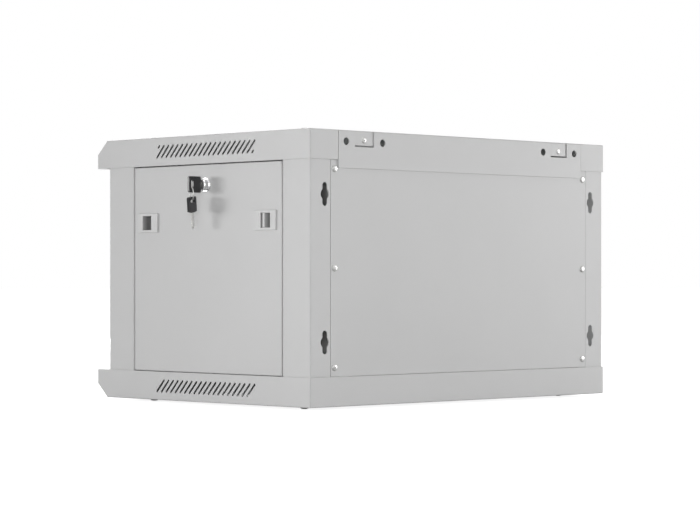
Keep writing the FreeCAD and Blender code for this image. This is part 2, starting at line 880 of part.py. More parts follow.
def lower_depth_rail():
    """The lower right depth rail: a slotted web with a flange turned out between the columns."""
    y0 = column_front_y + column_skin
    y1 = column_back_y - panel_skin - column_skin
    web = block(depth_rail_x, inner_flange_x, y0, y1, lower_rail_z, lower_rail_z + depth_rail_height)
    flange_y0 = column_front_y + front_inner_flange + hook_play
    flange_y1 = column_back_y - panel_skin - rear_inner_flange - 4 * end_plate - hook_play
    flange = block(depth_rail_x, inner_flange_x + depth_rail_flange, flange_y0, flange_y1,
                   lower_rail_z, lower_rail_z + depth_rail_skin)
    rail = joined([web, flange])
    mid = lower_rail_z + depth_rail_height / 2
    bar = across(vent(depth_slot_length, 2 * rack_thread_radius + 2 * screw_clearance, 4 * depth_rail_skin))
    first = front_rail_y + rail_screw_back
    count = int((rear_rail_y - front_rail_y) / depth_slot_pitch) + 1
    step = (rear_rail_y - front_rail_y) / (count - 1)
    slots = [moved(bar, depth_rail_x, first + step * i, mid) for i in range(count)]
    holes = [rod(Vector(depth_rail_x - column_skin, y, z), AXIS_X, small_thread_radius + screw_clearance,
                 4 * column_skin) for y, z in depth_rail_screw_places()]
    return rail.cut(slots + holes)


def depth_rail_screws():
    """Eight screws that hold the depth rails to the columns."""
    screw = hex_screw(tab_screw_head_radius, tab_screw_head_height, small_thread_radius, depth_screw_length)
    screw = turned(screw, AXIS_Y, -90)
    right = [moved(screw, depth_rail_x, y, z) for y, z in depth_rail_screw_places()]
    return group(right + [mirrored(shape) for shape in right])


def rail_screw_places(face_y):
    """Where one mounting rail is screwed to the depth rails, as (y, z)."""
    y = face_y + rail_screw_back
    return [(y, lower_rail_z + depth_rail_height / 2), (y, upper_rail_z + depth_rail_height / 2)]


def mounting_rail(face_y):
    """A right-hand 19 inch rail: a flange with three square holes for each unit, and a side web."""
    low = pan_flange + rail_end_gap
    path = [(rail_inner_x, face_y), (depth_rail_x, face_y), (depth_rail_x, face_y + rail_side_width)]
    rail = folded_sheet(path, rail_skin, column_bend, low, case_height - low)
    holes = []
    bottom = mid_z - rack_units * rack_unit / 2
    edge = (rack_unit - 2 * rack_hole_step) / 2
    for unit in range(rack_units):
        for hole in range(3):
            z = bottom + unit * rack_unit + edge + hole * rack_hole_step
            holes.append(mid_block(rack_hole_span / 2, face_y, z, rack_square, 4 * rail_skin, rack_square))
    for y, z in rail_screw_places(face_y):
        holes.append(rod(Vector(depth_rail_x - 2 * rail_skin, y, z), AXIS_X,
                         rack_thread_radius + screw_clearance, 3 * rail_skin))
    return rail.cut(holes)


def mounting_rail_screws():
    """Eight screws that hold the four mounting rails."""
    length = rail_skin + depth_rail_skin + rack_nut_height + 1
    screw = hex_screw(rack_head_radius, rack_head_height, rack_thread_radius, length)
    screw = turned(screw, AXIS_Y, -90)
    places = rail_screw_places(front_rail_y) + rail_screw_places(rear_rail_y)
    right = [moved(screw, depth_rail_x - rail_skin, y, z) for y, z in places]
    return group(right + [mirrored(shape) for shape in right])


def mounting_rail_nuts():
    """The nuts on the mounting rails' screws, behind the depth rails."""
    piece = turned(nut(rack_nut_radius, rack_nut_height, rack_thread_radius), AXIS_Y, 90)
    places = rail_screw_places(front_rail_y) + rail_screw_places(rear_rail_y)
    right = [moved(piece, inner_flange_x, y, z) for y, z in places]
    return group(right + [mirrored(shape) for shape in right])


# Door

def window_size():
    """Width and height of the door's window."""
    return door_width - 2 * door_side_border, door_top_z - door_bottom_z - 2 * door_end_border


def door_frame():
    """A shallow steel tray with a window, its edges folded back and turned in behind."""
    half = door_width / 2
    outer = block(-half, half, door_front_y, door_back_y, door_bottom_z, door_top_z)
    outer = rounded(outer, door_skin + 1, lambda edge: edge.BoundBox.YMax < door_front_y + 0.01)
    hollow = block(-half + door_skin, half - door_skin, door_front_y + door_skin, door_back_y - door_skin,
                   door_bottom_z + door_skin, door_top_z - door_skin)
    opening = block(-half + door_return, half - door_return, door_back_y - 2 * door_skin,
                    door_back_y + door_skin, door_bottom_z + door_return, door_top_z - door_return)
    width, height = window_size()
    rim = mid_block(0, door_front_y + window_flange, mid_z, width, 2 * window_flange, height)
    lock_hole = on_door(lock_body_blank(door_skin * 3))
    pin_holes = [rod(Vector(hinge_x, hinge_y, 0), AXIS_Z, hinge_pin_radius, case_height)]
    brackets = []
    for z in (door_bottom_z, door_top_z - hinge_pin_length / 2):
        brackets.append(block(hinge_x - hinge_pin_inset + door_skin, hinge_x + 2 * hinge_pin_radius,
                              door_front_y + door_skin, door_back_y - door_skin, z, z + hinge_pin_length / 2))
    shell = outer.cut([hollow, opening])
    frame = joined([shell] + brackets)
    return frame.cut([rim, lock_hole] + pin_holes)


def door_glass():
    """The tempered pane behind the window."""
    width, height = window_size()
    y = door_front_y + door_skin + gasket_thickness + glass_thickness / 2
    return mid_block(0, y, mid_z, width + 2 * glass_lap, glass_thickness, height + 2 * glass_lap)


def door_glass_gasket():
    """The rubber strip between the door's skin and the pane."""
    width, height = window_size()
    y = door_front_y + door_skin + gasket_thickness / 2
    outer = mid_block(0, y, mid_z, width + 2 * glass_lap, gasket_thickness, height + 2 * glass_lap)
    inner_lap = glass_lap - gasket_width
    inner = mid_block(0, y, mid_z, width + 2 * inner_lap, 2 * gasket_thickness, height + 2 * inner_lap)
    return outer.cut(inner)


def glass_clip():
    """A stepped clip lying along +Z: foot on the door's skin at z = 0 upward, finger over the pane's edge."""
    foot_y = door_front_y + door_skin
    back = foot_y + gasket_thickness + glass_thickness
    stand = nest_gap + clip_skin
    half = clip_width / 2
    foot = block(-half, half, foot_y, foot_y + clip_skin, nest_gap, clip_reach)
    riser = block(-half, half, foot_y, back + clip_skin, nest_gap, stand)
    finger = block(-half, half, back, back + clip_skin, nest_gap - clip_reach * 0.7, stand)
    return joined([foot, riser, finger])


def door_glass_clips():
    """Ten clips around the pane, clear of the lock."""
    width, height = window_size()
    reach_x = width / 2 + glass_lap
    reach_z = height / 2 + glass_lap
    clip = glass_clip()
    clips = []
    for x in (-width / 3, 0, width / 3):
        clips.append(moved(clip, x, 0, mid_z + reach_z))
        clips.append(moved(turned(clip, AXIS_Y, 180), x, 0, mid_z - reach_z))
    for z in (mid_z - height / 4, mid_z + height / 4):
        clips.append(moved(turned(clip, AXIS_Y, 90), reach_x, 0, z))
        clips.append(moved(turned(clip, AXIS_Y, -90), -reach_x, 0, z))
    return group(clips)


def door_hinge_pins():
    """Two pivot pins, each with a collar that keeps the door off the lip."""
    tail = hinge_pin_length / 2
    start = door_top_z - tail
    pin = rod(Vector(hinge_x, hinge_y, start), AXIS_Z, hinge_pin_radius, hinge_pin_length - tail / 4)
    collar = rod(Vector(hinge_x, hinge_y, door_top_z), AXIS_Z, hinge_collar_radius, door_gap - nest_gap)
    top = joined([pin, collar])
    return group([top, upside_down(top)])


def door_buffers():
    """Four rubber buffers on the back of the door, facing the columns."""
    length = column_front_y - door_back_y - nest_gap
    reach = door_width / 2 - buffer_edge
    buffers = []
    for x in (-reach + buffer_edge / 2, reach):
        for z in (door_bottom_z + buffer_inset, door_top_z - buffer_inset):
            buffers.append(rod(Vector(x, door_back_y, z), AXIS_Y, buffer_radius, length))
    return group(buffers)


# Cam locks: each is built along +Z, with the carrying skin's outer face at z = 0 and the cam below it

def lock_body_blank(length):
    """The flat-sided barrel that passes through a skin, hanging below z = 0."""
    barrel = Part.makeCylinder(lock_body_radius, length, Vector(0, 0, -length))
    return barrel.common(mid_block(0, 0, -length / 2, lock_flat, 4 * lock_body_radius, length))


def lock_body(length):
    """The lock's rosette, round nose and threaded barrel, bored for the plug."""
    rim = rosette_thickness / 2
    shoulder = lock_barrel_length - lock_nose_round
    rosette = [(0, 0), (rosette_radius, 0), (rosette_radius, rim), (rosette_radius - rim, rosette_thickness)]
    front = [(lock_barrel_radius, rosette_thickness), (lock_barrel_radius, shoulder),
             (lock_barrel_radius - lock_nose_round, lock_barrel_length), (0, lock_barrel_length)]
    nose = revolved(rosette + front)
    body = joined([nose, lock_body_blank(length)])
    bore = lock_plug_radius + lock_plug_play
    return body.cut(Part.makeCylinder(bore, length + lock_barrel_length, Vector(0, 0, -length)))


def lock_plug(length):
    """The turning plug with its keyway and the square that drives the cam."""
    top = lock_barrel_length - nest_gap
    plug = Part.makeCylinder(lock_plug_radius, length + top, Vector(0, 0, -length))
    tang = mid_block(0, 0, -length - cam_thickness / 2, lock_plug_radius, lock_plug_radius, cam_thickness)
    keyway = mid_block(0, 0, top - key_blade_length / 2, key_blade_thickness, key_blade_width,
                       key_blade_length)
    return joined([plug, tang]).cut(keyway)


def lock_cam(length):
    """The cam on the plug's square, pointing along +X."""
    low = -length - cam_thickness
    arm = moved(slot(cam_length + cam_width / 2, cam_width, cam_thickness), cam_length / 2 - cam_width / 4, 0,
                low + cam_thickness / 2)
    square = mid_block(0, 0, low, lock_plug_radius, lock_plug_radius, 4 * cam_thickness)
    return arm.cut(square)


def lock_cam_bolt(length):
    """The bolt head that holds the cam on."""
    low = -length - cam_thickness
    return moved(hexagon(2 * cam_bolt_head_radius, cam_bolt_head_height), 0, 0, low - cam_bolt_head_height)


def lock_nut(skin):
    """The nut that clamps the lock to its skin."""
    low = -skin - lock_nut_height
    ring = moved(hexagon(lock_nut_flats, lock_nut_height), 0, 0, low)
    return ring.cut(lock_body_blank(skin + 2 * lock_nut_height))


def side_lock_length():
    """How far the side lock's barrel reaches in from the panel's outer face."""
    return side_x - (half_width - pan_skin - return_width) + side_cam_back


def door_lock_length():
    """How far the door lock's barrel reaches back from the door's outer face."""
    return column_front_y + column_skin + door_cam_behind - door_front_y


def on_side(shape):
    """A lock piece turned onto the right-hand side panel: axis to +X, cam to +Y, keyway upright."""
    flat = turned(turned(shape, AXIS_Z, 90), AXIS_Y, 90)
    return moved(flat, side_x, side_lock_y, side_lock_z)


def on_door(shape):
    """A lock piece turned onto the door: its axis to -Y, its cam down, its keyway level."""
    flat = turned(turned(shape, AXIS_X, 90), AXIS_Y, 90)
    return moved(flat, door_lock_x, door_front_y, mid_z)


# Side panels

def latch_places():
    """Outer edge of each latch's bezel and which way its tongue points, for the right-hand side."""
    return [(panel_front_y + latch_edge, 1), (panel_back_y - latch_edge, -1)]


def along(edge, side, near, far, x0, x1, height):
    """A latch box from near to far, measured inward from the bezel's outer edge, about the latch's height."""
    y0, y1 = sorted((edge + side * near, edge + side * far))
    return block(x0, x1, y0, y1, latch_z - height / 2, latch_z + height / 2)


def latch_sizes():
    """Distances inward from the bezel's outer edge that the latch's pieces share."""
    body_near = seat_width - latch_edge - panel_gap + latch_body_start
    block_near = body_near + latch_travel - latch_play
    pit_near = block_near + latch_pit_start
    block_far = block_near + latch_block_length
    body_far = bezel_width - latch_body_end
    return body_near, block_near, pit_near, block_far, body_far


def latch_block_height():
    """Height of the slider, a little more than its finger pit."""
    return latch_pit_height + 2 * latch_wall


def latch_floor_x():
    """The inner face of the slider's block, clear of the column's seat."""
    return side_x - latch_play - latch_block_depth


def tongue_x():
    """The outer face of the tongue, just behind the column's seat."""
    return seat_x - column_skin - 2 * latch_play


def latch_cutout(edge, side):
    """The opening in a side panel for one latch."""
    _, block_near, _, _, body_far = latch_sizes()
    height = latch_block_height() + 2 * latch_play + 2 * latch_wall
    return along(edge, side, block_near - latch_travel - latch_play, body_far, side_x - 3 * panel_skin,
                 side_x + panel_skin, height)


def latch_housing(edge, side):
    """A moulded bezel with a window, and the box behind it that guides the slider."""
    body_near, _, pit_near, _, body_far = latch_sizes()
    inner_height = latch_block_height() + 2 * latch_play
    floor = tongue_x() - tongue_thickness - latch_play
    bezel = along(edge, side, 0, bezel_width, side_x, side_x + bezel_thickness, bezel_height)
    face_x = side_x + bezel_thickness
    bezel = rounded(bezel, bezel_thickness / 2, lambda piece: piece.BoundBox.XMin > face_x - 0.01)
    body = along(edge, side, body_near, body_far, floor - latch_wall, side_x + bezel_thickness / 2,
                 inner_height + 2 * latch_wall)
    hollow = along(edge, side, body_near - 1, body_far - latch_wall, floor, side_x, inner_height)
    window_near = pit_near + latch_window_cover
    window = along(edge, side, window_near, window_near + latch_window_length, side_x - 1,
                   side_x + 2 * bezel_thickness, latch_pit_height + latch_window_play)
    return joined([bezel, body]).cut([hollow, window])


def latch_slider(edge, side):
    """The finger slide: a block with a pit, a thumb rib and a step, and its tongue behind the seat."""
    _, block_near, pit_near, block_far, _ = latch_sizes()
    top = side_x - latch_play
    low = latch_floor_x()
    tongue_tip = seat_width - latch_edge - panel_gap + 2 * latch_play
    body = along(edge, side, block_near, block_far, low, top, latch_block_height())
    rib_near = pit_near + latch_pit_width
    pit = along(edge, side, pit_near, rib_near, top - latch_pit_depth, top + 1, latch_pit_height)
    rib_far = rib_near + thumb_rib
    rib = along(edge, side, rib_near, rib_far, top - 1, top + thumb_rib_rise, latch_pit_height)
    step = along(edge, side, rib_far, block_far + 1, top - latch_step_depth, top + 1, bezel_height)
    tongue_low = tongue_x() - tongue_thickness
    stem = along(edge, side, pit_near, block_far, tongue_low, low, tongue_height)
    tongue = along(edge, side, tongue_tip, block_far, tongue_low, tongue_x(), tongue_height)
    return joined([body, rib, stem, tongue]).cut([pit, step])


def latch_housings():
    """Both housings of the right-hand side panel."""
    return group([latch_housing(edge, side) for edge, side in latch_places()])


def side_panel():
    """The right-hand side panel: a shallow tray with hooks below and openings for its latches and lock."""
    outer = block(side_x - panel_fold, side_x, panel_front_y, panel_back_y, panel_bottom_z, panel_top_z)
    outer = rounded(outer, panel_fold_bend + panel_skin, lambda edge: edge.BoundBox.XMin > side_x - 0.01)
    hollow = block(side_x - 2 * panel_fold, side_x - panel_skin, panel_front_y + panel_skin,
                   panel_back_y - panel_skin, panel_bottom_z + panel_skin, panel_top_z - panel_skin)
    hook_x = side_x - panel_fold
    hooks = [block(hook_x, hook_x + panel_skin, y - hook_width / 2, y + hook_width / 2,
                   panel_bottom_z - hook_length, panel_bottom_z + panel_skin) for y in hook_places()]
    cutters = [latch_cutout(edge, side) for edge, side in latch_places()]
    cutters.append(on_side(lock_body_blank(3 * panel_skin)))
    return joined([outer.cut(hollow)] + hooks).cut(cutters)


# Keys: built along +Z with the head's outer end up and the blade's tip down, zero at the shoulder

def key_blade():
    """A flat blade with a pointed tip and a few cuts along one edge."""
    hidden = key_blade_hidden
    blade = mid_block(0, 0, (hidden - key_blade_length) / 2, key_blade_width, key_blade_thickness,
                      key_blade_length + hidden)
    tip = key_blade_width / 2
    for side in (-1, 1):
        corner = turned(mid_block(0, 0, 0, tip * 1.5, 3 * key_blade_thickness, tip * 1.5), AXIS_Y, 45)
        blade = blade.cut(moved(corner, side * key_blade_width / 2, 0, -key_blade_length))
    notch = turned(mid_block(0, 0, 0, key_cut_size, 3 * key_blade_thickness, key_cut_size), AXIS_Y, 45)
    for i in range(key_cuts):
        height = tip + key_cut_start + key_cut_pitch * i - key_blade_length
        blade = blade.cut(moved(notch, key_blade_width / 2, 0, height))
    return blade


def key_head():
    """The moulded head with sloping shoulders and a slot for the ring."""
    half = key_head_width / 2
    rise = key_head_shoulder
    neck = half - key_head_shoulder_width
    end = key_head_length
    cut = key_head_corner
    corners = [(-neck, 0), (neck, 0), (half, rise), (half, end - cut), (half - cut, end), (cut - half, end),
               (-half, end - cut), (-half, rise)]
    points = [Vector(x, -key_head_thickness / 2, z) for x, z in corners]
    head = Part.Face(Part.makePolygon(points + points[:1])).extrude(Vector(0, key_head_thickness, 0))
    bar = turned(slot(key_slot_length, key_slot_width, 3 * key_head_thickness), AXIS_X, 90)
    opening = moved(bar, 0, 0, key_head_length - key_slot_from_end)
    seat = mid_block(0, 0, 0, key_blade_width, key_blade_thickness, 2 * key_blade_hidden)
    return head.cut([opening, seat])


def key_in_lock(shape):
    """A key piece pushed into the right-hand side lock, its head standing off the nose."""
    flat = turned(moved(shape, 0, 0, lock_barrel_length + key_head_gap), AXIS_Y, 90)
    return moved(flat, side_x, side_lock_y, side_lock_z)


def ring_top():
    """Where the ring's wire rests, at the low end of the slot in the inserted key's head."""
    x = side_x + lock_barrel_length + key_head_gap + key_head_length - key_slot_from_end
    z = side_lock_z - key_slot_length / 2 + key_ring_rest
    return Vector(x, side_lock_y, z)


def ring_centre():
    """The middle of the hanging ring."""
    return ring_top() - Vector(0, 0, key_ring_radius)


def key_ring():
    """The wire ring through the inserted key's head."""
    corners = []
    for i in range(key_ring_sides):
        angle = 2 * math.pi * (i + 0.5) / key_ring_sides
        radius = key_ring_radius + key_ring_wire * math.cos(angle)
        corners.append(Vector(radius, 0, key_ring_wire * math.sin(angle)))
    wire = Part.Face(Part.makePolygon(corners + corners[:1]))
    ring = turned(wire.revolve(ORIGIN, AXIS_Z, 360), AXIS_X, 90)
    ring = turned(ring, AXIS_Z, key_ring_turn)
    centre = ring_centre()
    return moved(ring, centre.x, centre.y, centre.z)


def hanging_key(shape):
    """A spare key piece hung on the ring by its head, blade down."""
    slot_end = key_head_length - key_slot_from_end + key_slot_width / 2
    lowered = moved(shape, 0, 0, key_ring_rest - slot_end)
    leaning = turned(lowered, AXIS_Y, spare_key_lean)
    facing = turned(leaning, AXIS_Z, spare_key_turn)
    centre = ring_centre()
    return moved(facing, centre.x, centre.y, centre.z - key_ring_radius)


def front_right_column():
    """The right-hand front column, with the slot for the door lock's cam."""
    return front_column().cut(cam_slot())


def build():
    """All the pieces by name."""
    side_length = side_lock_length()
    door_length = door_lock_length()
    upper_depth_rail = upside_down(lower_depth_rail())
    pieces = {
        "roof_pan": roof_pan(),
        "floor_pan": floor_pan(),
        "front_column_right": front_right_column(),
        "front_column_left": mirrored(front_column()),
        "rear_column_right": rear_column(),
        "rear_column_left": mirrored(rear_column()),
        "rear_panel": rear_panel(),
        "rear_panel_screws": rear_panel_screws(),
        "wall_rail": wall_rail(),
        "wall_rail_screws": wall_rail_screws(),
        "frame_screws": frame_screws(),
        "frame_nuts": frame_nuts(),
        "cable_covers": cable_covers(),
        "cable_cover_screws": cable_cover_screws(),
        "earth_stud": earth_stud(),
        "depth_rail_lower_right": lower_depth_rail(),
        "depth_rail_upper_right": upper_depth_rail,
        "depth_rail_lower_left": mirrored(lower_depth_rail()),
        "depth_rail_upper_left": mirrored(upper_depth_rail),
        "depth_rail_screws": depth_rail_screws(),
        "mounting_rail_front_right": mounting_rail(front_rail_y),
        "mounting_rail_rear_right": mounting_rail(rear_rail_y),
        "mounting_rail_front_left": mirrored(mounting_rail(front_rail_y)),
        "mounting_rail_rear_left": mirrored(mounting_rail(rear_rail_y)),
        "mounting_rail_screws": mounting_rail_screws(),
        "mounting_rail_nuts": mounting_rail_nuts(),
        "door_frame": door_frame(),
        "door_glass": door_glass(),
        "door_glass_gasket": door_glass_gasket(),
        "door_glass_clips": door_glass_clips(),
        "door_hinge_pins": door_hinge_pins(),
        "door_buffers": door_buffers(),
        "door_lock_body": on_door(lock_body(door_length)),
        "door_lock_nut": on_door(lock_nut(door_skin)),
        "door_lock_plug": on_door(lock_plug(door_length)),
        "door_lock_cam": on_door(lock_cam(door_length)),
        "door_lock_cam_bolt": on_door(lock_cam_bolt(door_length)),
        "key_blade": key_in_lock(key_blade()),
        "key_head": key_in_lock(key_head()),
        "key_ring": key_ring(),
        "spare_key_blade": hanging_key(key_blade()),
        "spare_key_head": hanging_key(key_head()),
    }
    right_side = {
        "side_panel": side_panel(),
        "latch_housings": latch_housings(),
        "latch_slider_front": latch_slider(*latch_places()[0]),
        "latch_slider_rear": latch_slider(*latch_places()[1]),
        "side_lock_body": on_side(lock_body(side_length)),
        "side_lock_nut": on_side(lock_nut(panel_skin)),
        "side_lock_plug": on_side(lock_plug(side_length)),
        "side_lock_cam": on_side(lock_cam(side_length)),
        "side_lock_cam_bolt": on_side(lock_cam_bolt(side_length)),
    }
    for name, shape in right_side.items():
        pieces[name + "_right"] = shape
        pieces[name + "_left"] = mirrored(shape)
    return pieces


os.makedirs("parts", exist_ok=True)
for name, shape in build().items():
    if not shape.isValid():
        print("not valid:", name)
    print(name, len(shape.Solids), "solids", round(shape.Volume / 1000, 2), "cm3")
    shape.exportStep("parts/" + name + ".step")
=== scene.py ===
# %% [markdown]
# # A wall mount network cabinet
# The steel case, its panels, door, rails and locks come as finished solids. This lesson gives every one of
# them the surface it has on the real cabinet, and models the small turned and moulded pieces again where a
# plain solid would look too hard: screw heads, locks, keys and the finger latches.

# %% Load the solids
import json
import math

import bmesh
import bpy
from mathutils import Matrix, Vector


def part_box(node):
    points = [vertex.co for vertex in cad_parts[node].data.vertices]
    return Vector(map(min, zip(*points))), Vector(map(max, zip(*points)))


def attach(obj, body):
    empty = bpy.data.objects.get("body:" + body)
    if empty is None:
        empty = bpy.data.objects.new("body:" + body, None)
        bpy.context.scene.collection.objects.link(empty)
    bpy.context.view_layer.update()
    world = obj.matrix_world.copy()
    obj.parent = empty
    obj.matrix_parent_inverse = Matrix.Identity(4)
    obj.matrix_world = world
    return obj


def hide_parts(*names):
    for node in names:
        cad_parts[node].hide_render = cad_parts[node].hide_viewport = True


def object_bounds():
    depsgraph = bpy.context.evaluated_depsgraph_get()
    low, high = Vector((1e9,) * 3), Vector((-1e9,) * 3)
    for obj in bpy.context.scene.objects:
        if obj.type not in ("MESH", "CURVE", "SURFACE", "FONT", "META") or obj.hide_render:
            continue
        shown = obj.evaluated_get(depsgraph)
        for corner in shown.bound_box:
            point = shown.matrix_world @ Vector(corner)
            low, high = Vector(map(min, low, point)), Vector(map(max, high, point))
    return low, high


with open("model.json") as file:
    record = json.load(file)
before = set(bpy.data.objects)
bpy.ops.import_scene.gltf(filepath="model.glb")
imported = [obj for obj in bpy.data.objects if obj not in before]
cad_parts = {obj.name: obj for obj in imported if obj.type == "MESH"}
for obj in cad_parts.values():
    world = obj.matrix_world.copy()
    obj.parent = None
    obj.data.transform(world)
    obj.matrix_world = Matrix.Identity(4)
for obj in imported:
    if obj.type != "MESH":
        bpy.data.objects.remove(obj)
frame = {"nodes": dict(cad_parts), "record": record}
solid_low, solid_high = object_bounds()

MM = 0.001
JOIN = 0.001 * MM  # vertices closer than this are one
SLACK = 0.01 * MM  # how far a vertex may lie from its measured place

# %% [markdown]
# ## Finding places
# Most places come from the solids: a node's box says where it is, and its middle is the middle of its box. The
# few measures that a box can't give are named where they are used, in millimetres.

# %% Places
def middle(node):
    low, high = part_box(node)
    return (low + high) / 2


def island_boxes(node):
    """The box of each separate solid in a node, found by walking its joined vertices.

    The boxes are sorted by their middles, so they always come in the same order."""
    mesh = bmesh.new()
    mesh.from_mesh(frame["nodes"][node].data)
    bmesh.ops.remove_doubles(mesh, verts=mesh.verts, dist=JOIN)
    left = set(mesh.verts)
    boxes = []
    while left:
        reached = [left.pop()]
        points = []
        while reached:
            vert = reached.pop()
            points.append(vert.co.copy())
            for edge in vert.link_edges:
                other = edge.other_vert(vert)
                if other in left:
                    left.remove(other)
                    reached.append(other)
        low = Vector([min(p[i] for p in points) for i in range(3)])
        high = Vector([max(p[i] for p in points) for i in range(3)])
        boxes.append((low, high))
    mesh.free()
    return sorted(boxes, key=lambda box: [round(v / MM) for v in box[0] + box[1]])


def linked(name, data):
    """A new object for the data, linked into the scene at the origin."""
    made = bpy.data.objects.new(name, data)
    bpy.context.scene.collection.objects.link(made)
    return made


print("frame screws:", len(island_boxes("frame_screws")))

# %% [markdown]
# ## A material's parts
# Every finish starts as a Principled shader with one number for each thing that is the same all over. What
# varies is read from the object's own coordinates, so the pattern stays on the piece when the piece moves.
# A cloud of noise moves the colour a little each way, and a finer one lifts and dents the surface.

# %% A finish with a little life in it
CLOUD_DETAIL, GRAIN_DETAIL = 4.0, 2.0
CLOUD_LOW, CLOUD_HIGH = 0.3, 0.7
ROUGH_SWING = 0.1
BUMP_STRENGTH = 0.5


def add_node(nodes, kind, **inputs):
    """A new shader node with some inputs set. An underscore in a name stands for a space."""
    made = nodes.new("ShaderNode" + kind)
    for socket, value in inputs.items():
        made.inputs[socket.replace("_", " ")].default_value = value
    return made


def finish(name, tone, spread, rough, metal=0.0, cloud=30.0, grain=900.0, lift=0.02,
           stretch=(1, 1, 1), **sockets):
    """tone and rough are the middle values, spread how far the colour moves each way."""
    material = bpy.data.materials.new(name)
    material.use_nodes = True
    nodes, links = material.node_tree.nodes, material.node_tree.links
    shader = nodes["Principled BSDF"]
    shader.inputs["Metallic"].default_value = metal
    for socket, value in sockets.items():
        shader.inputs[socket.replace("_", " ")].default_value = value
    place = add_node(nodes, "TexCoord")
    mapping = add_node(nodes, "Mapping", Scale=stretch)
    links.new(place.outputs["Object"], mapping.inputs["Vector"])

    clouds = add_node(nodes, "TexNoise", Scale=cloud, Detail=CLOUD_DETAIL)
    links.new(mapping.outputs["Vector"], clouds.inputs["Vector"])
    colours = add_node(nodes, "ValToRGB")
    darkest, lightest = colours.color_ramp.elements
    darkest.position, lightest.position = CLOUD_LOW, CLOUD_HIGH
    darkest.color = [c * (1 - spread) for c in tone] + [1]
    lightest.color = [min(1, c * (1 + spread)) for c in tone] + [1]
    links.new(clouds.outputs["Fac"], colours.inputs["Fac"])
    links.new(colours.outputs["Color"], shader.inputs["Base Color"])

    grains = add_node(nodes, "TexNoise", Scale=grain, Detail=GRAIN_DETAIL)
    links.new(mapping.outputs["Vector"], grains.inputs["Vector"])
    roughness = add_node(nodes, "MapRange", To_Min=rough * (1 - ROUGH_SWING),
                         To_Max=rough * (1 + ROUGH_SWING))
    links.new(grains.outputs["Fac"], roughness.inputs["Value"])
    links.new(roughness.outputs["Result"], shader.inputs["Roughness"])
    bump = add_node(nodes, "Bump", Strength=BUMP_STRENGTH, Distance=lift * MM)
    links.new(grains.outputs["Fac"], bump.inputs["Height"])
    links.new(bump.outputs["Normal"], shader.inputs["Normal"])
    return material


# %% [markdown]
# ## Powder coat
# The sheet steel is sprayed with a light grey powder and baked. The film is thick enough to round every
# edge, and it keeps a faint pebble like orange peel, so its shine is soft. The same grey covers the case,
# the panels and the door.

# %% Grey powder coat
GREY = (0.55, 0.55, 0.55)
powder = finish("light grey powder coat", GREY, 0.012, 0.5, cloud=9, grain=700, lift=0.012)
edge_round = add_node(powder.node_tree.nodes, "Bevel", Radius=0.45 * MM)
edge_round.samples = 4
coat_bump = next(n for n in powder.node_tree.nodes if n.type == "BUMP")
powder.node_tree.links.new(edge_round.outputs["Normal"], coat_bump.inputs["Normal"])
print("powder coat:", len(powder.node_tree.nodes), "nodes")

# %% [markdown]
# ## Zinc, chrome, nickel and lock steel
# The rails inside are zinc plated and left bare, which leaves long faint streaks from the rolling mill. The
# fasteners are plated too, but barrel plating leaves them mottled instead. The lock noses are polished
# chrome, the keys nickel with a worn satin face, and the ring is a duller wire.

# %% Metals
zinc_plate = finish("zinc plated sheet", (0.58, 0.59, 0.60), 0.07, 0.36, metal=1.0, cloud=60,
                    grain=800, stretch=(1, 1, 0.08))
bright_zinc = finish("bright zinc", (0.52, 0.52, 0.51), 0.06, 0.36, metal=1.0, cloud=260, grain=1500)
lock_chrome = finish("polished chrome", (0.80, 0.80, 0.81), 0.02, 0.14, metal=1.0, cloud=120,
                     grain=600, lift=0.002)
lock_steel = finish("turned steel", (0.50, 0.50, 0.49), 0.06, 0.34, metal=1.0, cloud=200, grain=1800)
key_nickel = finish("worn nickel", (0.80, 0.80, 0.78), 0.05, 0.28, metal=1.0, cloud=300, grain=2000)
ring_wire = finish("dull steel wire", (0.50, 0.50, 0.49), 0.05, 0.4, metal=1.0, cloud=300, grain=2000)
print("metals made")

# %% [markdown]
# ## Plastics, rubber and glass
# The finger latches are moulded in a grey that matches the powder coat, with a fine spark-eroded texture, and
# the floor of their pits is darkened with painted shade.
# Key heads are black and a little glossy. The pane is clear tempered glass,
# faintly green, with a trace of smudge in its roughness.

# %% Plastics, rubber and glass
def painted_pit_shade(material, deep, open_face, darkest):
    """Painted shade that deepens with depth: the colour falls from the open face to the deep floor of a pit.
    """
    nodes, links = material.node_tree.nodes, material.node_tree.links
    place = next(n for n in nodes if n.type == "TEX_COORD")
    colour = nodes["Principled BSDF"].inputs["Base Color"]
    split = add_node(nodes, "SeparateXYZ")
    links.new(place.outputs["Object"], split.inputs["Vector"])
    outward = add_node(nodes, "Math")
    outward.operation = "ABSOLUTE"
    links.new(split.outputs["X"], outward.inputs[0])
    level = add_node(nodes, "MapRange", From_Min=deep * MM, From_Max=open_face * MM, To_Min=darkest)
    links.new(outward.outputs["Value"], level.inputs["Value"])
    shade = add_node(nodes, "VectorMath")
    shade.operation = "SCALE"
    links.new(colour.links[0].from_socket, shade.inputs["Vector"])
    links.new(level.outputs["Result"], shade.inputs["Scale"])
    links.new(shade.outputs["Vector"], colour)


PIT_FLOOR, PIT_MOUTH = 289, 297  # how far the deep and the open end of a latch's pit lie from the middle
latch_plastic = finish("grey latch plastic", GREY, 0.012, 0.46, cloud=40, grain=1600, lift=0.01)
# painted shade: the latch plastic's colour darkens towards the floor of each pit
painted_pit_shade(latch_plastic, PIT_FLOOR, PIT_MOUTH, 0.3)
key_plastic = finish("black key plastic", (0.02, 0.02, 0.022), 0.1, 0.33, cloud=90, grain=1400,
                     lift=0.015)
rubber = finish("black rubber", (0.025, 0.025, 0.025), 0.1, 0.7, cloud=80, grain=1100, lift=0.03)
pane_glass = finish("clear glass", (0.93, 0.97, 0.95), 0.01, 0.03, cloud=4, grain=12, lift=0.0,
                    Transmission_Weight=1.0, IOR=1.5)
print("plastics, rubber and glass made")

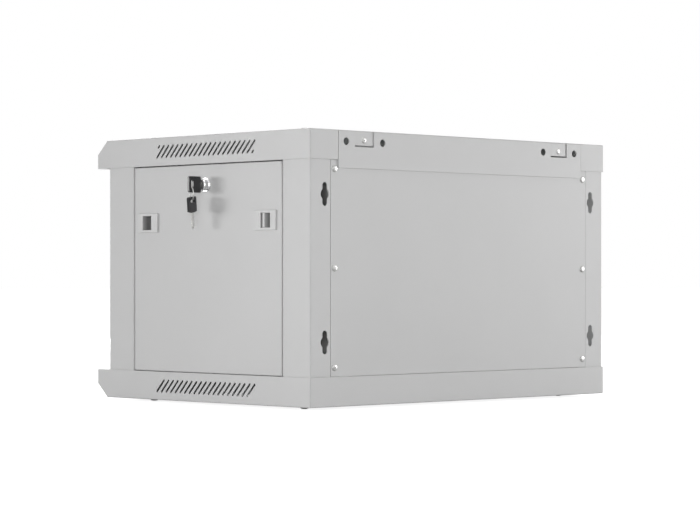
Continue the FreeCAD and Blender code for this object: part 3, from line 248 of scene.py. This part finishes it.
# %% [markdown]
# ## Dressing the solids
# The record names a material slot for each node. One table from slot to finish dresses them all.

# %% Dress every node
FINISHES = {
    "grey_powder_coat": powder,
    "zinc_plate": zinc_plate,
    "bright_zinc": bright_zinc,
    "clear_glass": pane_glass,
    "black_rubber": rubber,
    "grey_plastic": latch_plastic,
    "lock_chrome": lock_chrome,
    "lock_steel": lock_steel,
    "key_nickel": key_nickel,
    "black_plastic": key_plastic,
}
slot_of = {part["node"]: part["material_slot"] for part in frame["record"]["subparts"]}
body_of = {node: body for body, members in frame["record"]["behaviour"]["bodies"].items()
           for node in members}
for node, solid in frame["nodes"].items():
    solid.data.materials.clear()
    solid.data.materials.append(FINISHES[slot_of[node]])
print("dressed", len(slot_of), "nodes")

# %% [markdown]
# ## Making a piece
# A new piece is a bmesh that becomes an object at the origin, with its place in its vertices. It takes the
# body and the slot of the node it stands for.

# %% From a bmesh to a piece
def piece(name, mesh, node, sharp=35, weighted=False):
    """A finished piece in place of one node. Weighted normals keep its large flat faces evenly shaded."""
    bmesh.ops.recalc_face_normals(mesh, faces=mesh.faces)
    data = bpy.data.meshes.new(name)
    for face in mesh.faces:
        face.smooth = True
    mesh.to_mesh(data)
    mesh.free()
    data.set_sharp_from_angle(angle=math.radians(sharp))
    made = linked(name, data)
    data.materials.append(FINISHES[slot_of[node]])
    if weighted:
        normals = made.modifiers.new("weighted normals", "WEIGHTED_NORMAL")
        normals.keep_sharp = True
        normals.weight = 100
    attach(made, body_of[node])
    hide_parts(node)
    print(name, "has", len(data.polygons), "faces")
    return made


def lathe(mesh, outline, steps, closed=False):
    """Spins an outline of (radius, height) points in millimetres about Z."""
    verts = [mesh.verts.new(Vector((radius, 0, height)) * MM) for radius, height in outline]
    following = verts[1:] + verts[:1] if closed else verts[1:]
    edges = [mesh.edges.new(pair) for pair in zip(verts, following)]
    bmesh.ops.spin(mesh, geom=verts + edges, cent=(0, 0, 0), axis=(0, 0, 1), angle=2 * math.pi,
                   steps=steps, use_merge=True)


# %% [markdown]
# ## Gaps round the sheets
# A panel is bent a touch smaller than its opening, and the gap round it reads as a thin line. The copies of
# the sheets below are merged first, then the skin along a side is pushed by part of a millimetre. The two tabs
# of the roof stand nearly level with the rail that they are screwed to, so their faces are pushed out too.

# %% Sheets with eased sides
def merged_copy(node):
    """A node's own mesh with its loose triangles joined."""
    mesh = bmesh.new()
    mesh.from_mesh(frame["nodes"][node].data)
    bmesh.ops.remove_doubles(mesh, verts=mesh.verts, dist=JOIN)
    return mesh


def push_band(mesh, axis, low, high, push):
    """Moves the vertices between low and high on an axis, in metres, by push millimetres."""
    band = [vert for vert in mesh.verts if low - SLACK <= vert.co[axis] <= high + SLACK]
    way = Vector([push * MM if i == axis else 0 for i in range(3)])
    bmesh.ops.translate(mesh, vec=way, verts=band)


def eased_sheet(node, axis, margin, low_push, high_push):
    """A sheet whose low and high ends on an axis draw in by so many millimetres."""
    mesh = merged_copy(node)
    low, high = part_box(node)
    push_band(mesh, axis, low[axis], low[axis] + margin * MM, low_push)
    push_band(mesh, axis, high[axis] - margin * MM, high[axis], -high_push)
    return mesh


SIDE_GAP, BOTTOM_GAP, REAR_GAP, RAIL_GAP = 0.8, 0.65, 0.8, 0.7
SIDE_FOLD, REAR_FOLD = 3.0, 1.2  # how wide a folded edge is
LIP_LOW, LIP_HIGH = 1.2, 3.5  # where a side panel's bottom edge lies over the floor pan
TAB_NEAR, TAB_FAR, TAB_RECESS, TAB_RISE = 181.5, 216.5, 2.6, 1.2

pan_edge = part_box("floor_pan")[1].z
for side in ("right", "left"):
    sheet = eased_sheet("side_panel_" + side, 1, SIDE_FOLD, SIDE_GAP, SIDE_GAP)
    push_band(sheet, 2, pan_edge + LIP_LOW * MM, pan_edge + LIP_HIGH * MM, -BOTTOM_GAP)
    piece("side_sheet_" + side, sheet, "side_panel_" + side, weighted=True)

roof = merged_copy("roof_pan")
tab_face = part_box("wall_rail")[1].y - TAB_RECESS * MM
for vert in roof.verts:
    if abs(vert.co.y - tab_face) < 10 * SLACK and TAB_NEAR * MM < abs(vert.co.x) < TAB_FAR * MM:
        vert.co.y += TAB_RISE * MM
piece("roof_sheet", roof, "roof_pan", weighted=True)
piece("rear_sheet", eased_sheet("rear_panel", 0, REAR_FOLD, 0, REAR_GAP), "rear_panel", weighted=True)
piece("wall_rail_sheet", eased_sheet("wall_rail", 0, REAR_FOLD, 0, RAIL_GAP), "wall_rail", weighted=True)

# %% [markdown]
# ## Soft corners
# Mouldings and small castings never have knife edges. Their meshes are merged, flat triangles are dissolved
# into whole faces, and every edge that turns sharply is bevelled with a round profile. The head of the key in
# the lock first grows a little towards the lock's nose, without reaching it.

# %% Rounding every sharp edge
def soften(mesh, width, sharp=35):
    """Bevels the sharp edges of a merged mesh by width millimetres."""
    bmesh.ops.dissolve_limit(mesh, angle_limit=math.radians(0.5), verts=mesh.verts, edges=mesh.edges)
    edges = [edge for edge in mesh.edges if edge.calc_face_angle(0) > math.radians(sharp)]
    bmesh.ops.bevel(mesh, geom=edges, offset=width * MM, offset_type="OFFSET", affect="EDGES",
                    segments=2, profile=0.5, material=-1, clamp_overlap=True)
    return mesh


SHOULDER_BAND, SHOULDER_PUSH = 1.5, 0.4
SOFT_CORNERS = {
    "key_head": 0.5, "spare_key_head": 0.5, "key_blade": 0.12, "spare_key_blade": 0.12,
    "door_lock_cam": 0.3, "side_lock_cam_right": 0.3, "side_lock_cam_left": 0.3,
    "door_lock_nut": 0.5, "side_lock_nut_right": 0.5, "side_lock_nut_left": 0.5,
    "door_lock_cam_bolt": 0.4, "side_lock_cam_bolt_right": 0.4, "side_lock_cam_bolt_left": 0.4,
    "door_lock_plug": 0.15, "side_lock_plug_right": 0.15, "side_lock_plug_left": 0.15,
    "door_buffers": 0.6, "door_glass_clips": 0.2, "door_glass_gasket": 0.4,
}
for node, width in SOFT_CORNERS.items():
    mesh = merged_copy(node)
    if node == "key_head":
        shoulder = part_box(node)[0].x
        push_band(mesh, 0, shoulder, shoulder + SHOULDER_BAND * MM, -SHOULDER_PUSH)
    piece("soft_" + node, soften(mesh, width), node, weighted=True)

# %% [markdown]
# ## Finger latches
# Each latch is a moulded bezel with a window. Behind the window sits a slider: a deep pit for a fingertip and,
# on its inner side, a low rib for the thumb. The bezel stands about two and a half millimetres off the panel,
# with the rib just below its face. The front slider is drawn back, so that its rib meets the window's edge;
# the rear one has slid towards its column. Insets are measured from the bezel's outer edge.

# %% Finger latches
LATCH_SLACK = 0.02
BEZEL_INNER, BEZEL_OUTER, BEZEL_PUSH = 298.6, 300, 0.85
WINDOW_FAR, WINDOW_PUSH = 30.45, -0.25
RIB_FACE, RIB_PUSH = 299.85, -0.2
RIB_NEAR, RIB_FAR = 24.45, 26.25  # the solid's insets
RIB_INSETS = {"front": (28.5, 31.5), "rear": (23.0, 27.1)}


def push_latch(mesh, housing, measure, low, high, push):
    """Moves vertices by their inset from the bezel's outer edge, or by their distance off the middle."""
    box_low, box_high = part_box(housing)
    for vert in mesh.verts:
        from_front, from_back = vert.co.y - box_low.y, box_high.y - vert.co.y
        inset = min(from_front, from_back) / MM
        outward = abs(vert.co.x) / MM
        if low - LATCH_SLACK <= (inset if measure == "inset" else outward) <= high + LATCH_SLACK:
            if measure == "inset":
                vert.co.y += push * MM * (1 if from_front < from_back else -1)
            else:
                vert.co.x += push * MM * (1 if vert.co.x > 0 else -1)


for side in ("right", "left"):
    housing = "latch_housings_" + side
    mesh = merged_copy(housing)
    push_latch(mesh, housing, "outward", BEZEL_INNER, BEZEL_OUTER, BEZEL_PUSH)
    push_latch(mesh, housing, "inset", WINDOW_FAR, WINDOW_FAR, WINDOW_PUSH)
    piece("latch_bezels_" + side, soften(mesh, 0.25), housing, weighted=True)
    for end, (near, far) in RIB_INSETS.items():
        slider = "latch_slider_" + end + "_" + side
        mesh = merged_copy(slider)
        push_latch(mesh, housing, "outward", RIB_FACE, RIB_FACE, RIB_PUSH)
        push_latch(mesh, housing, "inset", RIB_FAR, RIB_FAR, far - RIB_FAR)
        push_latch(mesh, housing, "inset", RIB_NEAR, RIB_NEAR, near - RIB_NEAR)
        piece("latch_slide_" + end + "_" + side, soften(mesh, 0.3), slider, weighted=True)

# %% [markdown]
# ## Screw heads
# The screws that show are pan heads with a cross recess. Each is spun from the outline of its dome, then a
# tapered cross is pressed into the top with a boolean, and the shank keeps the thread's outer size.

# %% A pan head screw
def dome(radius, height, steps=6):
    """Outline points from the rim up over a shallow dome to the middle."""
    points = []
    for i in range(steps + 1):
        angle = math.pi / 2 * i / steps
        points.append((radius * math.cos(angle) ** 0.7 if i < steps else 0.0, height * math.sin(angle)))
    return points


def cut_from(mesh, cutter):
    """Takes one closed mesh out of another and returns the result as a new bmesh."""
    objects = []
    for name, source in (("body", mesh), ("tool", cutter)):
        bmesh.ops.recalc_face_normals(source, faces=source.faces)
        data = bpy.data.meshes.new(name)
        source.to_mesh(data)
        source.free()
        objects.append(linked(name, data))
    body, tool = objects
    boolean = body.modifiers.new("cut", "BOOLEAN")
    boolean.operation = "DIFFERENCE"
    boolean.solver = "EXACT"
    boolean.use_self = True
    boolean.object = tool
    bpy.context.view_layer.update()
    evaluated = body.evaluated_get(bpy.context.evaluated_depsgraph_get())
    result = bmesh.new()
    result.from_mesh(evaluated.to_mesh())
    evaluated.to_mesh_clear()
    for made in objects:
        data = made.data
        bpy.data.objects.remove(made)
        bpy.data.meshes.remove(data)
    return result


def cross_recess(span, width, depth, top):
    """A tapered cross that narrows downward from the height top."""
    mesh = bmesh.new()
    for turn in (0, 90):
        bar = bmesh.ops.create_cube(mesh, size=1.0)["verts"]
        bmesh.ops.scale(mesh, vec=Vector((span, width, 2 * depth)) * MM, verts=bar)
        for vert in bar:
            if vert.co.z < 0:
                vert.co.x *= 0.45
                vert.co.y *= 0.7
        way = Matrix.Rotation(math.radians(turn), 3, "Z")
        bmesh.ops.rotate(mesh, cent=(0, 0, 0), matrix=way, verts=bar)
        bmesh.ops.translate(mesh, vec=Vector((0, 0, top * MM)), verts=bar)
    return mesh


def pan_head(head_radius, head_height, shank_radius, shank_length):
    """A screw along Z with its head above zero."""
    mesh = bmesh.new()
    rim = head_height * 0.25
    outline = [(0, -shank_length), (shank_radius * 0.8, -shank_length),
               (shank_radius, -shank_length + 0.6), (shank_radius, 0), (head_radius, 0)]
    outline += [(radius, rim + height) for radius, height in dome(head_radius, head_height - rim)]
    lathe(mesh, outline, 32)
    bmesh.ops.remove_doubles(mesh, verts=mesh.verts, dist=JOIN)
    reach = head_radius * 1.05
    return cut_from(mesh, cross_recess(reach, head_radius * 0.24, head_height * 0.5, head_height * 1.02))


def screws(node, axis, head_radius, head_height, shank_radius):
    """Every screw of a node, its head toward +axis or away from it, each driven to its own angle."""
    mesh = bmesh.new()
    for low, high in island_boxes(node):
        centre = (low + high) / 2
        length = (high - low)[axis] / MM
        outward = 1 if centre[axis] > middle_of_case[axis] else -1
        screw = pan_head(head_radius, head_height, shank_radius, length - head_height)
        if axis == 1:
            turn = Matrix.Rotation(-math.pi / 2 * outward, 3, "X")
        else:
            turn = Matrix.Rotation(0 if outward > 0 else math.pi, 3, "X")
        seat = centre.copy()
        seat[axis] = (high if outward > 0 else low)[axis] - outward * head_height * MM
        twist = Matrix.Rotation(math.radians(37 * len(mesh.verts) % 90), 3, "Z")
        bmesh.ops.rotate(screw, cent=(0, 0, 0), matrix=turn @ twist, verts=screw.verts)
        bmesh.ops.translate(screw, vec=seat, verts=screw.verts)
        data = bpy.data.meshes.new("one screw")
        screw.to_mesh(data)
        screw.free()
        mesh.from_mesh(data)
        bpy.data.meshes.remove(data)
    piece(node.replace("screws", "pan_heads"), mesh, node)


SCREWS = {  # axis, head radius, head height, shank radius
    "frame_screws": (2, 6.5, 4.4, 3.0),
    "rear_panel_screws": (1, 4.5, 1.8, 2.0),
    "wall_rail_screws": (1, 4.4, 2.4, 2.0),
}
middle_of_case = Vector((0, 0, middle("side_panel_right").z))
for node, sizes in SCREWS.items():
    screws(node, *sizes)

# %% [markdown]
# ## Where a lock points
# A side lock's axis runs out through its panel and the door lock's runs out through the door. A turned piece
# is made along Z with its skin at zero, then laid onto that axis by one matrix.

# %% Laying a turned piece onto its axis
def laid(mesh, node, outward, skin):
    """Turns a piece from +Z onto the outward axis, over the middle of its node, with zero at the skin."""
    turn = Vector(outward).to_track_quat("Z", "Y").to_matrix().to_4x4()
    axis = max(range(3), key=lambda i: abs(outward[i]))
    place = middle(node)
    place[axis] = skin
    mesh.transform(Matrix.Translation(place) @ turn)


def lock_skin(plate_node, outward):
    """Where the lock's skin lies on its axis: the outer face of the panel or the door."""
    axis = max(range(3), key=lambda i: abs(outward[i]))
    low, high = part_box(plate_node)
    return high[axis] if outward[axis] > 0 else low[axis]


# %% [markdown]
# ## Cam lock bodies
# A cam lock is a die cast barrel: a thin rosette lies on the panel, a round polished nose stands out of it,
# and behind the skin the barrel is threaded and has two flats so that it can't turn. The whole profile is
# one outline, spun about the axis, and the flats are pressed in afterwards.

# %% Lock bodies
def rounded_corner(radius, height, size, start, steps=4):
    """A quarter circle of outline points about (radius, height), turning anticlockwise from start degrees."""
    angles = [math.radians(start + 90 * i / steps) for i in range(steps + 1)]
    return [(radius + size * math.cos(a), height + size * math.sin(a)) for a in angles]


BORE, THREAD, BARREL, ROSETTE = 5.55, 8.0, 8.2, 10.0
THREAD_DEPTH, ROSETTE_ROUND, NOSE_ROUND, FLATS = 0.4, 0.6, 2.5, 6.9


def lock_body(name, node, plate_node, outward):
    """The lock's barrel, from its threaded end to its rounded nose."""
    axis = max(range(3), key=lambda i: abs(outward[i]))
    skin = lock_skin(plate_node, outward)
    nose, tail = sorted(abs(end[axis] - skin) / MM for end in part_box(node))
    root = THREAD - THREAD_DEPTH
    outline = [(BORE, -tail), (root, -tail)]
    for i in range(int(tail - 2)):
        outline += [(THREAD, -tail + i + 0.5), (root, -tail + i + 1.0)]
    outline += [(THREAD, 0), (ROSETTE, 0)]
    outline += rounded_corner(ROSETTE - ROSETTE_ROUND, 0.8, ROSETTE_ROUND, 0)
    outline += [(BARREL + 0.3, 1.4), (BARREL, 1.7)]
    outline += rounded_corner(BARREL - NOSE_ROUND, nose - NOSE_ROUND, NOSE_ROUND, 0, 8)
    outline += [(BORE, nose - 0.3)]
    mesh = bmesh.new()
    lathe(mesh, outline, 72, closed=True)
    for vert in mesh.verts:
        if vert.co.z < -SLACK:
            vert.co.y = max(-FLATS * MM, min(FLATS * MM, vert.co.y))
    laid(mesh, node, outward, skin)
    piece(name, mesh, node)


RIGHT, LEFT, FRONT = (1, 0, 0), (-1, 0, 0), (0, -1, 0)
lock_body("right_lock_barrel", "side_lock_body_right", "side_panel_right", RIGHT)
lock_body("left_lock_barrel", "side_lock_body_left", "side_panel_left", LEFT)
lock_body("door_lock_barrel", "door_lock_body", "door_frame", FRONT)

# %% [markdown]
# ## Key ring
# The ring is a loop of round wire. A small circle, set off from the middle, is spun once about the ring's own
# axis. The line that the ring swings about lies in its plane, so the record's joint says how it stands.

# %% Key ring
WIRE = 0.74


def joint_axis(name):
    """The line that a joint turns about, from the record."""
    return next(j["axis"] for j in frame["record"]["behaviour"]["joints"] if j["name"] == name)


def key_ring():
    """The wire ring, turned about the upright to pass through both heads."""
    low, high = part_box("key_ring")
    loop = (high - low).z / MM / 2 - WIRE
    mesh = bmesh.new()
    section = bmesh.ops.create_circle(mesh, segments=12, radius=WIRE * MM)["verts"]
    upright = Matrix.Rotation(math.pi / 2, 3, "X")
    bmesh.ops.rotate(mesh, cent=(0, 0, 0), matrix=upright, verts=section)
    bmesh.ops.translate(mesh, vec=Vector((loop, 0, 0)) * MM, verts=section)
    bmesh.ops.spin(mesh, geom=mesh.verts[:] + mesh.edges[:], cent=(0, 0, 0), axis=(0, 0, 1),
                   angle=2 * math.pi, steps=72, use_merge=True)
    face = Vector(joint_axis("key_ring_swing")).cross(Vector((0, 0, 1)))
    turn = face.to_track_quat("Z", "Y").to_matrix().to_4x4()
    mesh.transform(Matrix.Translation((low + high) / 2) @ turn)
    ring = piece("wire_key_ring", mesh, "key_ring")
    ring.data.materials[0] = ring_wire


key_ring()

# %% [markdown]
# ## Floor, light and camera
# The cabinet stands on a plain pale floor. For the camera the floor and the world are white paper, and the
# floor keeps a faint shadow. Soft lamps stand left, near, far, in front and above, all at a plain level, and a
# weak one inside lifts what shows through the rear left keyholes.

# %% Stage
PAPER_GLOW, ROOM_LIGHT = 0.9, 0.18


def stage_material():
    """White paper that catches shadows and glows a little for the camera."""
    material = bpy.data.materials.new("white floor")
    material.use_nodes = True
    nodes, links = material.node_tree.nodes, material.node_tree.links
    nodes.clear()
    output = add_node(nodes, "OutputMaterial")
    paper = add_node(nodes, "BsdfDiffuse", Color=(0.8, 0.8, 0.8, 1))
    glow = add_node(nodes, "Emission", Color=(1, 1, 1, 1))
    ray = add_node(nodes, "LightPath")
    level = add_node(nodes, "Math")
    level.operation = "MULTIPLY"
    level.inputs[1].default_value = PAPER_GLOW
    links.new(ray.outputs["Is Camera Ray"], level.inputs[0])
    links.new(level.outputs["Value"], glow.inputs["Strength"])
    both = add_node(nodes, "AddShader")
    links.new(paper.outputs["BSDF"], both.inputs[0])
    links.new(glow.outputs["Emission"], both.inputs[1])
    links.new(both.outputs["Shader"], output.inputs["Surface"])
    return material


def floor(height):
    """A wide flat sheet at the given height, which belongs to the stage."""
    mesh = bmesh.new()
    bmesh.ops.create_grid(mesh, x_segments=1, y_segments=1, size=30.0)
    bmesh.ops.translate(mesh, vec=(0, 0, height), verts=mesh.verts)
    data = bpy.data.meshes.new("floor")
    mesh.to_mesh(data)
    mesh.free()
    made = linked("floor", data)
    data.materials.append(stage_material())


def clamped_sum(nodes):
    """A node that adds two values and stops at one."""
    made = add_node(nodes, "Math")
    made.operation = "ADD"
    made.use_clamp = True
    return made


def white_room():
    """A world that is white to look at, in mirrors and through glass, and dim as a light."""
    world = bpy.data.worlds.new("white room")
    world.use_nodes = True
    bpy.context.scene.world = world
    nodes, links = world.node_tree.nodes, world.node_tree.links
    background = nodes["Background"]
    background.inputs["Color"].default_value = (1, 1, 1, 1)
    ray = add_node(nodes, "LightPath")
    seen, mirrored = clamped_sum(nodes), clamped_sum(nodes)
    links.new(ray.outputs["Is Camera Ray"], seen.inputs[0])
    links.new(ray.outputs["Is Glossy Ray"], mirrored.inputs[0])
    links.new(ray.outputs["Is Transmission Ray"], mirrored.inputs[1])
    links.new(mirrored.outputs["Value"], seen.inputs[1])
    strength = add_node(nodes, "MapRange", To_Min=ROOM_LIGHT, To_Max=1.0)
    links.new(seen.outputs["Value"], strength.inputs["Value"])
    links.new(strength.outputs["Result"], background.inputs["Strength"])


floor(solid_low.z)
white_room()


def lamp(name, place, target, width, height, power):
    """A soft panel lamp aimed at a point."""
    data = bpy.data.lights.new(name, "AREA")
    data.shape = "RECTANGLE"
    data.size = width
    data.size_y = height
    data.energy = power
    made = linked(name, data)
    made.location = place
    made.rotation_euler = (Vector(target) - Vector(place)).to_track_quat("-Z", "Y").to_euler()


LAMPS = {  # place, target, width, height, power
    "left lamp": ((4.9, -4.75, 0.6), (0.3, 0, 0.18), 2.3, 1.1, 120),
    "near lamp": ((1.35, 0.92, 0.34), (0.3, 0.15, 0.17), 0.7, 0.7, 7.6),
    "far lamp": ((-2.6, 1.8, 0.5), (-0.2, 0.2, 0.18), 1.2, 1.2, 50),
    "front lamp": ((-1.8, -3.0, 1.0), (-0.1, -0.1, 0.18), 1.8, 1.8, 60),
    "inner lamp": ((-0.245, 0.13, 0.185), (-0.298, 0.195, 0.185), 0.03, 0.26, 0.09),
    "top lamp": ((0.3, 0.3, 3.2), (0, 0, 0.2), 2.0, 2.0, 32),
}
for name, settings in LAMPS.items():
    lamp(name, *settings)
bpy.data.objects["inner lamp"].visible_camera = False

# %% [markdown]
# ## Camera
# A long lens stands level with the cabinet's middle, off the corner where the right side meets the back.
# A small shift of the lens frames it without tilting the camera, so every upright stays upright.

# %% Camera
camera_data = bpy.data.cameras.new("camera")
camera_data.sensor_width = 36.0
camera_data.lens = 125.29
camera_data.shift_x = -0.0317
camera_data.shift_y = 0.0264
camera_data.clip_end = 100
camera = linked("camera", camera_data)
camera.location = (2.4997, 2.5684, 0.17131)
camera.rotation_euler = (math.radians(90), 0, math.radians(135.351))
bpy.context.scene.camera = camera
bpy.context.scene.view_settings.view_transform = "Standard"
